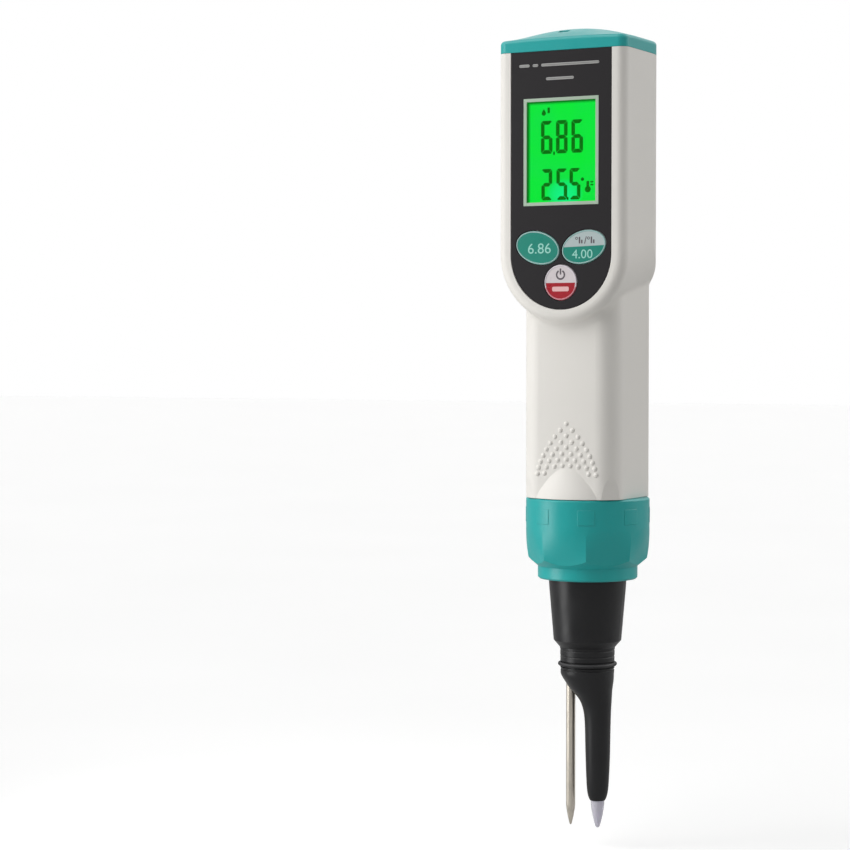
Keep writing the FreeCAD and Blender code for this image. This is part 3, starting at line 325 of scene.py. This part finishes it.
materials = {
    "white": plastic("white_abs_moulded", srgb(233, 230, 224), rough=0.46, grain=4200,
                     drift=0.012, bevel=0.35, scuff=0.0),
    "teal": plastic("teal_abs_moulded", srgb(24, 168, 166), rough=0.33, grain=4200,
                    drift=0.03, bevel=0.30, scuff=0.0),
    "panel": plastic("panel_film_black", srgb(38, 36, 38), rough=0.55, grain=7000,
                     grain_depth=0.002, drift=0.06, bevel=0.12, scuff=0.03, spec=0.18),
    "frame": plastic("display_frame_grey", srgb(176, 196, 176), rough=0.45, drift=0.03,
                     bevel=0.10),
    "board": plastic("board_green", srgb(18, 84, 48), rough=0.35, drift=0.15, coat=0.4,
                     cloud=180.0),
    "chip": plastic("chip_black", srgb(38, 38, 40), rough=0.55, drift=0.1),
    "socket": plastic("socket_black", srgb(42, 42, 44), rough=0.48, drift=0.08),
    "plunger": plastic("plunger_white", srgb(225, 222, 214), rough=0.4),
    "seal": plastic("seal_rubber", srgb(30, 30, 32), rough=0.62, grain=2500,
                    grain_depth=0.01, drift=0.15),
    "wire": plastic("wire_sheath", srgb(170, 50, 40), rough=0.5, drift=0.1),
    "light_guide": plastic("light_guide_clear", srgb(220, 240, 222), rough=0.3, drift=0.02),
    "bead": plastic("thermistor_bead", srgb(60, 56, 54), rough=0.5, drift=0.1),
    "probe": plastic("probe_black_satin", srgb(24, 24, 26), rough=0.34, grain=3800,
                     grain_depth=0.003, drift=0.10, bevel=0.20, cloud=60.0, spec=0.4),
    "steel": metal("fastener_steel", srgb(190, 190, 192)),
    "gold": metal("contact_gold", srgb(212, 180, 110), rough=0.25),
    "cell": metal("cell_nickel", srgb(200, 200, 205), rough=0.18),
    "silver_wire": metal("silver_wire", srgb(150, 150, 160)),
    "rod": metal("rod_stainless", srgb(219, 211, 198), rough=0.34, stretch=(1, 1, 0.03),
                 scale=3500.0, depth=0.4),
    "window": window_material(),
    "lcd": lcd_material(),
    "ink": lcd_ink_material(),
    "glass": glass_material(),
    "key_left": plastic("key_teal_print", KEY_TEAL, drift=0.06, **KEY_FINISH),
    "key_right": plastic("key_silver_teal_print", srgb(186, 200, 200), drift=0.02,
                         lower_band=dict(color=KEY_TEAL, level=106.55, lean=0.035),
                         **KEY_FINISH),
    "key_power": plastic("key_silver_red_print", srgb(222, 214, 216), drift=0.02,
                         lower_band=dict(color=srgb(170, 20, 38), level=95.4), **KEY_FINISH),
    "ring": plastic("key_rim_silver", srgb(150, 188, 184), rough=0.30, drift=0.05, bevel=0.05),
    "ring_power": plastic("power_rim_print", srgb(222, 214, 220), drift=0.02,
                          lower_band=dict(color=srgb(205, 130, 140), level=94.0), **KEY_FINISH),
    "print_light": plastic("print_light_grey", srgb(166, 166, 164), rough=0.5, drift=0.05,
                           bevel=0.02),
    "print_mint": plastic("print_mint", srgb(160, 222, 208), rough=0.45, drift=0.03,
                          bevel=0.02),
    "print_dark": plastic("print_dark_grey", srgb(92, 84, 90), rough=0.5, drift=0.05,
                          bevel=0.02),
    "print_pink": plastic("print_pale_red", srgb(240, 190, 190), rough=0.45, drift=0.03,
                          bevel=0.02),
}

# CAD pieces made of each material
MADE_OF = {
    "white": ("front_shell", "rear_cover"),
    "teal": ("top_cap", "locking_collar"),
    "panel": ("face_panel",),
    "frame": ("lcd_frame",),
    "window": ("display_window",),
    "lcd": ("lcd_cell",),
    "light_guide": ("backlight",),
    "board": ("main_board",),
    "chip": ("processor_chip", "amplifier_chip", "switch_bodies"),
    "plunger": ("left_plunger", "right_plunger", "power_plunger"),
    "key_left": ("left_key",),
    "key_right": ("right_key",),
    "key_power": ("power_key",),
    "seal": ("cap_gasket", "socket_gasket", "neck_ring", "flange_seal", "glass_stopper"),
    "socket": ("battery_tray", "electrode_socket", "socket_nut", "pin_plate"),
    "cell": ("button_cells",),
    "steel": ("cover_screws", "board_screws", "battery_spring"),
    "gold": ("lcd_pins", "contact_disc", "tray_terminals", "board_contacts",
             "socket_contacts", "contact_pins"),
    "wire": ("signal_wires", "probe_leads"),
    "probe": ("electrode_body",),
    "glass": ("glass_tip",),
    "silver_wire": ("silver_wire",),
    "rod": ("temperature_rod",),
    "bead": ("thermistor",),
}
material_of = {piece: key for key, pieces in MADE_OF.items() for piece in pieces}
for name, piece in PIECES.items():
    piece.data.materials.clear()
    piece.data.materials.append(materials[material_of[name]])
    for polygon in piece.data.polygons:
        polygon.material_index = 0


# ------------------------------------------------------------------ outlines, (x, z) in mm
CORNER_STEPS = 5


def arc(center_x, center_z, radius, start, end, steps):
    """Points from angle start to end (degrees), both included."""
    angles = [math.radians(start + (end - start) * k / steps) for k in range(steps + 1)]
    return [(center_x + radius * math.cos(a), center_z + radius * math.sin(a)) for a in angles]


def rounded_rect(left, right, bottom, top, radius):
    corners = ((right - radius, top - radius), (left + radius, top - radius),
               (left + radius, bottom + radius), (right - radius, bottom + radius))
    points = []
    for quarter, (x, z) in enumerate(corners):
        points += arc(x, z, radius, 90 * quarter, 90 * quarter + 90, CORNER_STEPS)
    return points


def oval(center_x, center_z, half_width, half_height, tilt, count):
    """Ellipse turned by tilt degrees."""
    turn = math.radians(tilt)
    points = []
    for i in range(count):
        angle = 2 * math.pi * i / count
        x, z = half_width * math.cos(angle), half_height * math.sin(angle)
        points.append((center_x + x * math.cos(turn) - z * math.sin(turn),
                       center_z + x * math.sin(turn) + z * math.cos(turn)))
    return points


def disc(center_x, center_z, radius, count):
    return oval(center_x, center_z, radius, radius, 0, count)


# ------------------------------------------------------------------ mesh helpers
def add_to_scene(name, data):
    obj = bpy.data.objects.new(name, data)
    scene.collection.objects.link(obj)
    return obj


def add_piece(name, mesh, material, body, smooth=False):
    """Turn a bmesh into an object that rides on a body of the frame."""
    mesh.normal_update()
    data = bpy.data.meshes.new(name)
    mesh.to_mesh(data)
    mesh.free()
    obj = add_to_scene(name, data)
    data.materials.append(materials[material])
    if smooth:
        for polygon in data.polygons:
            polygon.use_smooth = True
    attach(obj, body)


def recalculate_normals(mesh):
    bmesh.ops.recalc_face_normals(mesh, faces=mesh.faces)


def add_row(mesh, outline, y):
    return [mesh.verts.new((x * MM, y * MM, z * MM)) for x, z in outline]


def bridge(mesh, first, second):
    """Band of faces between two closed rows of equal length."""
    count = len(first)
    for i in range(count):
        j = (i + 1) % count
        mesh.faces.new([first[i], first[j], second[j], second[i]])


def add_plate(mesh, outline, back, front):
    """Closed plate between y = back and y = front (mm)."""
    following = outline[1:] + outline[:1]
    doubled_area = sum(x * next_z - next_x * z
                       for (x, z), (next_x, next_z) in zip(outline, following))
    if doubled_area < 0:
        outline = outline[::-1]
    near = add_row(mesh, outline, front)
    far = add_row(mesh, outline, back)
    mesh.faces.new(near)
    mesh.faces.new(far[::-1])
    count = len(outline)
    for i in range(count):
        j = (i + 1) % count
        mesh.faces.new([near[j], near[i], far[i], far[j]])


def add_hoop(mesh, section):
    """Closed ring through (outline, y) rows taken in order round its cross-section."""
    rows = [add_row(mesh, outline, y) for outline, y in section]
    for first, second in zip(rows, rows[1:] + rows[:1]):
        bridge(mesh, first, second)


def add_plates(name, outlines, depth, material, body):
    """One flat-shaded object from several plates; depth is (back, front)."""
    mesh = bmesh.new()
    for outline in outlines:
        add_plate(mesh, outline, *depth)
    add_piece(name, mesh, material, body)


def front_of(piece):
    """Y of a CAD piece's foremost point, mm."""
    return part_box(piece)[0].y / MM


# ------------------------------------------------------------------ display content
lcd_front = front_of("lcd_cell")
INK_DEPTH = (lcd_front - 0.004, lcd_front - 0.026)

# Lit segments: a top, b and c right side, d bottom, e and f left side, g middle
LIT_SEGMENTS = {"2": "abged", "5": "afgcd", "6": "afgedc", "8": "abcdefg"}
SEGMENT_GAP = 0.10
READINGS = (    # lefts: left edge of each digit; dot: left, right, bottom, top
    dict(digits="686", lefts=(-7.27, -2.02, 3.32), bottom=136.35, width=4.0, height=10.45,
         stroke=1.22, dot=(-3.0, -2.4, 135.9, 137.0)),
    dict(digits="255", lefts=(-7.1, -1.85, 2.7), bottom=121.65, width=3.75, height=9.9,
         stroke=1.18, dot=(1.7, 2.35, 121.6, 122.5)),
)


def digit_outlines(digit, left, bottom, width, height, stroke):
    """Outlines of a seven-segment digit with cut outer corners."""
    right, top = left + width, bottom + height
    middle = (bottom + top) / 2
    cut = stroke * 0.55
    shoulder = cut * 0.35

    def level_bar(edge, inward):
        """Top or bottom bar; inward is the Z sign that leads to the middle."""
        return [(left + cut, edge), (right - cut, edge),
                (right - shoulder, edge + inward * cut * 0.4),
                (right - stroke, edge + inward * stroke),
                (left + stroke, edge + inward * stroke),
                (left + shoulder, edge + inward * cut * 0.4)]

    def left_bar(edge, inward):
        return [(left, edge + inward * (cut + SEGMENT_GAP * 0.3)),
                (left + shoulder, edge + inward * (cut * 0.5 + SEGMENT_GAP)),
                (left + stroke, edge + inward * (stroke + SEGMENT_GAP)),
                (left + stroke, middle - inward * (stroke / 2 + SEGMENT_GAP)),
                (left + stroke * 0.5, middle - inward * SEGMENT_GAP),
                (left, middle - inward * stroke * 0.35)]

    def mirrored(outline):
        return [(right - (x - left), z) for x, z in outline]

    upper_left, lower_left = left_bar(top, -1), left_bar(bottom, 1)
    segments = {
        "a": level_bar(top, -1), "d": level_bar(bottom, 1),
        "f": upper_left, "e": lower_left,
        "b": mirrored(upper_left), "c": mirrored(lower_left),
        "g": [(left + stroke * 0.5, middle),
              (left + stroke, middle + stroke / 2), (right - stroke, middle + stroke / 2),
              (right - stroke * 0.5, middle),
              (right - stroke, middle - stroke / 2), (left + stroke, middle - stroke / 2)],
    }
    return [segments[letter] for letter in LIT_SEGMENTS[digit]]


def build_lcd_digits():
    outlines = []
    for reading in READINGS:
        for left, digit in zip(reading["lefts"], reading["digits"]):
            outlines += digit_outlines(digit, left, reading["bottom"], reading["width"],
                                       reading["height"], reading["stroke"])
        outlines.append(rounded_rect(*reading["dot"], radius=0.2))
    add_plates("lcd_digits", outlines, INK_DEPTH, "ink", "casing")


def build_lcd_marks():
    """Dot and thermometer beside the lower reading, drop and bar above the upper one."""
    stem_x, stem_half_width, stem_top = 9.0, 0.45, 127.3
    bulb = arc(stem_x, 124.75, radius=1.0, start=118, end=422, steps=20)
    thermometer = [(stem_x + stem_half_width, stem_top), (stem_x - stem_half_width, stem_top)]
    thermometer += bulb
    ticks = [rounded_rect(9.9, 10.9, z, z + 0.45, radius=0.15) for z in (125.9, 126.8)]
    drop_x = -6.3
    drop = [(drop_x, 150.6)] + arc(drop_x, 149.2, radius=0.72, start=40, end=-220, steps=16)
    bar = rounded_rect(-5.0, -4.2, 149.2, 151.0, radius=0.2)
    outlines = [disc(7.15, 127.95, radius=0.55, count=20), thermometer, *ticks, drop, bar]
    add_plates("lcd_marks", outlines, INK_DEPTH, "ink", "casing")


build_lcd_digits()
build_lcd_marks()

# ------------------------------------------------------------------ printed bars on the panel
PRINT_SINK, PRINT_RISE = 0.01, 0.02    # how far a print reaches behind and before its face


def print_depth(face):
    return (face + PRINT_SINK, face - PRINT_RISE)


PANEL_BARS = (    # left, right, bottom, top
    (-14.6, -10.9, 163.95, 164.85),
    (-9.9, -7.9, 163.95, 164.85),
    (-6.9, 13.2, 163.95, 164.85),
    (-5.2, 4.5, 159.55, 160.45),
)
add_plates("panel_print", [rounded_rect(*bar, radius=0.5) for bar in PANEL_BARS],
           print_depth(front_of("face_panel")), "print_light", "casing")

# ------------------------------------------------------------------ key rims
key_front = front_of("left_key")
KEY_PRINT = print_depth(key_front)

RIM_POINTS = 72
RIM_SECTION = (    # inset from the key's outline, y behind the key's front
    (0.62, 0.02), (0.55, -0.07), (0.40, -0.11), (0.24, -0.06),
    (0.12, 0.10), (0.05, 0.34), (0.40, 0.30),
)
KEYS = (    # key, centre x, centre z, half width, half height, tilt in degrees, rim material
    ("left_key", -8.0, 106.6, 7.8, 5.25, -15.0, "ring"),
    ("right_key", 8.0, 106.6, 7.8, 5.25, 15.0, "ring"),
    ("power_key", 0, 95.5, 5.7, 5.7, 0, "ring_power"),
)
for key, center_x, center_z, half_width, half_height, tilt, rim_material in KEYS:
    rim = bmesh.new()
    add_hoop(rim, [(oval(center_x, center_z, half_width - inset, half_height - inset, tilt,
                         RIM_POINTS), key_front + y) for inset, y in RIM_SECTION])
    recalculate_normals(rim)
    add_piece(key + "_rim", rim, rim_material, key, smooth=True)


# ------------------------------------------------------------------ key prints
LETTER_WIDENING = 1.05


def text_faces(name, text):
    """Flat bmesh of a text in the XY plane, in font units."""
    curve = bpy.data.curves.new(name + "_curve", "FONT")
    curve.body = text
    curve.resolution_u = 4
    holder = add_to_scene(name + "_tmp", curve)
    bpy.context.view_layer.update()
    depsgraph = bpy.context.evaluated_depsgraph_get()
    data = bpy.data.meshes.new_from_object(holder.evaluated_get(depsgraph))
    bpy.data.objects.remove(holder)
    mesh = bmesh.new()
    mesh.from_mesh(data)
    bpy.data.meshes.remove(data)
    return mesh


def build_key_number(name, text, center_x, center_z, height, key):
    back, front = KEY_PRINT
    mesh = text_faces(name, text)
    xs = [vert.co.x for vert in mesh.verts]
    ys = [vert.co.y for vert in mesh.verts]
    scale = height / (max(ys) - min(ys))
    middle_x, middle_y = (max(xs) + min(xs)) / 2, (max(ys) + min(ys)) / 2
    bmesh.ops.remove_doubles(mesh, verts=mesh.verts, dist=1e-5)
    for vert in mesh.verts:
        x = (vert.co.x - middle_x) * scale * LETTER_WIDENING + center_x
        z = (vert.co.y - middle_y) * scale + center_z
        vert.co = Vector((x * MM, front * MM, z * MM))
    # the faces must look forward before they are extruded
    recalculate_normals(mesh)
    if sum(face.normal.y for face in mesh.faces) > 0:
        bmesh.ops.reverse_faces(mesh, faces=mesh.faces)
    extruded = bmesh.ops.extrude_face_region(mesh, geom=list(mesh.faces), use_keep_orig=True)
    for item in extruded["geom"]:
        if isinstance(item, bmesh.types.BMVert):
            item.co.y = back * MM
    recalculate_normals(mesh)
    add_piece(name, mesh, "print_mint", key)


def build_right_key_mark():
    """Two groups, each a ring and two bars, with a slanted stroke between them."""
    ring_z, ring_outer, ring_inner, ring_points = 109.35, 0.48, 0.24, 16
    bars_bottom = 107.7
    bars = ((0.75, 1.25, 109.8), (1.55, 2.05, 108.9))    # left and right from the ring, top
    stroke = [(8.15, 107.6), (8.45, 107.6), (9.05, 109.9), (8.75, 109.9)]
    back, front = KEY_PRINT
    mesh = bmesh.new()
    for x in (5.55, 9.65):
        outer = disc(x, ring_z, ring_outer, ring_points)
        inner = disc(x, ring_z, ring_inner, ring_points)
        add_hoop(mesh, ((outer, back), (outer, front), (inner, front), (inner, back)))
        for left, right, top in bars:
            bar = rounded_rect(x + left, x + right, bars_bottom, top, radius=0.15)
            add_plate(mesh, bar, back, front)
    add_plate(mesh, stroke, back, front)
    recalculate_normals(mesh)
    add_piece("right_key_mark", mesh, "print_dark", "right_key")


def build_power_prints():
    """Open ring with a stroke in its gap, and a plain bar below it."""
    outer, inner = [arc(0.0, 97.95, radius, start=118, end=422, steps=28)
                    for radius in (1.62, 1.08)]
    stroke = rounded_rect(-0.26, 0.26, 98.0, 99.95, radius=0.2)
    add_plates("power_symbol", [outer + inner[::-1], stroke], KEY_PRINT, "print_dark",
               "power_key")
    bar = rounded_rect(-2.9, 2.9, 92.7, 94.2, radius=0.5)
    add_plates("power_key_bar", [bar], KEY_PRINT, "print_pink", "power_key")


build_key_number("left_key_number", "6.86", -7.4, 106.4, height=3.25, key="left_key")
build_key_number("right_key_number", "4.00", 7.5, 104.4, height=2.8, key="right_key")
build_right_key_mark()
build_power_prints()

# ------------------------------------------------------------------ thumb rest nubs
# Half width of each row from the top down; row k holds k + 1 evenly spaced nubs
NUB_ROWS = (0.0, 2.1, 4.05, 5.6, 7.0, 8.15, 9.1, 9.8, 10.3)
NUB_TOP, NUB_ROW_PITCH = 50.65, 1.9
NUB_ROW_DROOP = 0.10      # fall of a row per mm away from the middle
NUB_LIMIT_DROOP = 0.12    # the same, as used when testing against the lower limit
NUB_RADIUS, NUB_HEIGHT, NUB_SIDES = 0.84, 0.43, 16
NUB_PROFILE = (    # shares of the nub's radius and height, from the foot up
    (1.12, -0.12), (1.0, 0.02), (0.90, 0.22), (0.74, 0.50), (0.50, 0.80), (0.25, 0.96),
)


def nub_lower_limit(x):
    return 36.3 - 3.2 * (x / 10.0) ** 2


def add_nub(mesh, point, normal):
    """Small dome standing on the surface at point."""
    upright = normal.to_track_quat("Z", "Y").to_matrix().to_4x4()
    placement = Matrix.Translation(point) @ upright
    rings = []
    for radius_share, height_share in NUB_PROFILE:
        radius = radius_share * NUB_RADIUS * MM
        height = height_share * NUB_HEIGHT * MM
        angles = [2 * math.pi * i / NUB_SIDES for i in range(NUB_SIDES)]
        rings.append([mesh.verts.new(
            placement @ Vector((radius * math.cos(a), radius * math.sin(a), height)))
            for a in angles])
    tip = mesh.verts.new(placement @ Vector((0, 0, NUB_HEIGHT * MM)))
    for lower, upper in zip(rings, rings[1:]):
        bridge(mesh, lower, upper)
    last = rings[-1]
    for i in range(NUB_SIDES):
        mesh.faces.new([last[i], last[(i + 1) % NUB_SIDES], tip])
    mesh.faces.new(rings[0][::-1])


def build_thumb_nubs():
    shell = bmesh.new()
    shell.from_mesh(PIECES["front_shell"].data)
    tree = BVHTree.FromBMesh(shell)
    mesh = bmesh.new()
    for k, half_width in enumerate(NUB_ROWS):
        row_z = NUB_TOP - NUB_ROW_PITCH * k
        for j in range(k + 1):
            x = -half_width + 2 * half_width * j / k if k else 0.0
            if row_z - NUB_LIMIT_DROOP * abs(x) <= nub_lower_limit(x):
                continue
            z = row_z - NUB_ROW_DROOP * abs(x)
            # look for the shell from 50 mm in front
            point, normal, *_ = tree.ray_cast(Vector((x * MM, -0.05, z * MM)),
                                              Vector((0, 1, 0)))
            if point is None:
                continue
            add_nub(mesh, point, -normal if normal.y > 0 else normal)
    add_piece("thumb_nubs", mesh, "white", "casing", smooth=True)
    shell.free()


build_thumb_nubs()

# ------------------------------------------------------------------ floor
FLOOR_SIZE = 12.0
FLOOR_CLEARANCE = 0.0066    # room for the electrode to unscrew without touching the floor

floor_z = cad_box[0][2] - FLOOR_CLEARANCE
bpy.ops.mesh.primitive_plane_add(size=FLOOR_SIZE, location=(0, 0, floor_z))
floor = bpy.context.object
floor.name = "floor"
floor.data.materials.append(floor_material())


# ------------------------------------------------------------------ world
def brighten_reflections(graph, background, rays):
    """Let glossy rays see a brighter ceiling than the diffuse light does."""
    strength = background.inputs["Strength"]
    base = strength.default_value
    ceiling = graph.remap(graph.axes("Generated")["Z"], (0.05, 0.55), (0.0, 1.1))
    extra = graph.math("MULTIPLY", ceiling, rays["Is Glossy Ray"])
    graph.feed(strength, graph.math("ADD", extra, base))


def build_world():
    """White backdrop for the camera and a dimmer white surround as light."""
    scene.world = bpy.data.worlds.new("studio")
    graph = Graph(scene.world, "ShaderNodeOutputWorld")
    backdrop, surround = [
        graph.node("ShaderNodeBackground", {"Color": (1, 1, 1, 1), "Strength": strength})
        for strength in (1.0, 0.29)]
    rays = graph.node("ShaderNodeLightPath").outputs
    brighten_reflections(graph, surround, rays)
    mixed = graph.node("ShaderNodeMixShader", {
        "Fac": rays["Is Camera Ray"],
        1: surround.outputs["Background"], 2: backdrop.outputs["Background"]})
    graph.finish(mixed.outputs["Shader"])


build_world()


# ------------------------------------------------------------------ lights and camera
def aim(obj, direction):
    obj.rotation_euler = direction.to_track_quat("-Z", "Y").to_euler()


def add_strip(name, location, target, size, power):
    """Rectangular light that the camera doesn't see."""
    light = bpy.data.lights.new(name, "AREA")
    light.shape = "RECTANGLE"
    light.size, light.size_y = size
    light.energy = power
    obj = add_to_scene(name, light)
    obj.location = location
    aim(obj, Vector(target) - Vector(location))
    obj.visible_camera = False


def add_sun(name, azimuth, elevation, strength, spread):
    """Far soft light, angles in degrees; azimuth turns from the front (-Y) towards +X."""
    light = bpy.data.lights.new(name, "SUN")
    light.energy = strength
    light.angle = math.radians(spread)
    around, up = math.radians(azimuth), math.radians(elevation)
    source = Vector((math.sin(around) * math.cos(up), -math.cos(around) * math.cos(up),
                     math.sin(up)))
    aim(add_to_scene(name, light), -source)


def add_camera():
    """Long lens, in front of the tester and to its right."""
    camera = bpy.data.cameras.new("camera")
    camera.lens = 100.0
    camera.sensor_width = 36.0
    camera.clip_start = 0.01
    obj = add_to_scene("camera", camera)
    obj.location = (0.312943, -0.702882, 0.074148)
    aim(obj, Vector((-0.46845172, 0.88291846, -0.03174869)))
    scene.camera = obj


add_sun("key_left", azimuth=-35.0, elevation=50.0, strength=1.1, spread=50.0)
add_sun("back_right", azimuth=128.0, elevation=30.0, strength=0.98, spread=60.0)
add_strip("strip_left", location=(-0.17, -0.13, 0.06), target=(0.0, 0.0, 0.06),
          size=(0.10, 0.45), power=0.40)
add_camera()
scene.view_settings.view_transform = "Standard"
scene.view_settings.look = "None"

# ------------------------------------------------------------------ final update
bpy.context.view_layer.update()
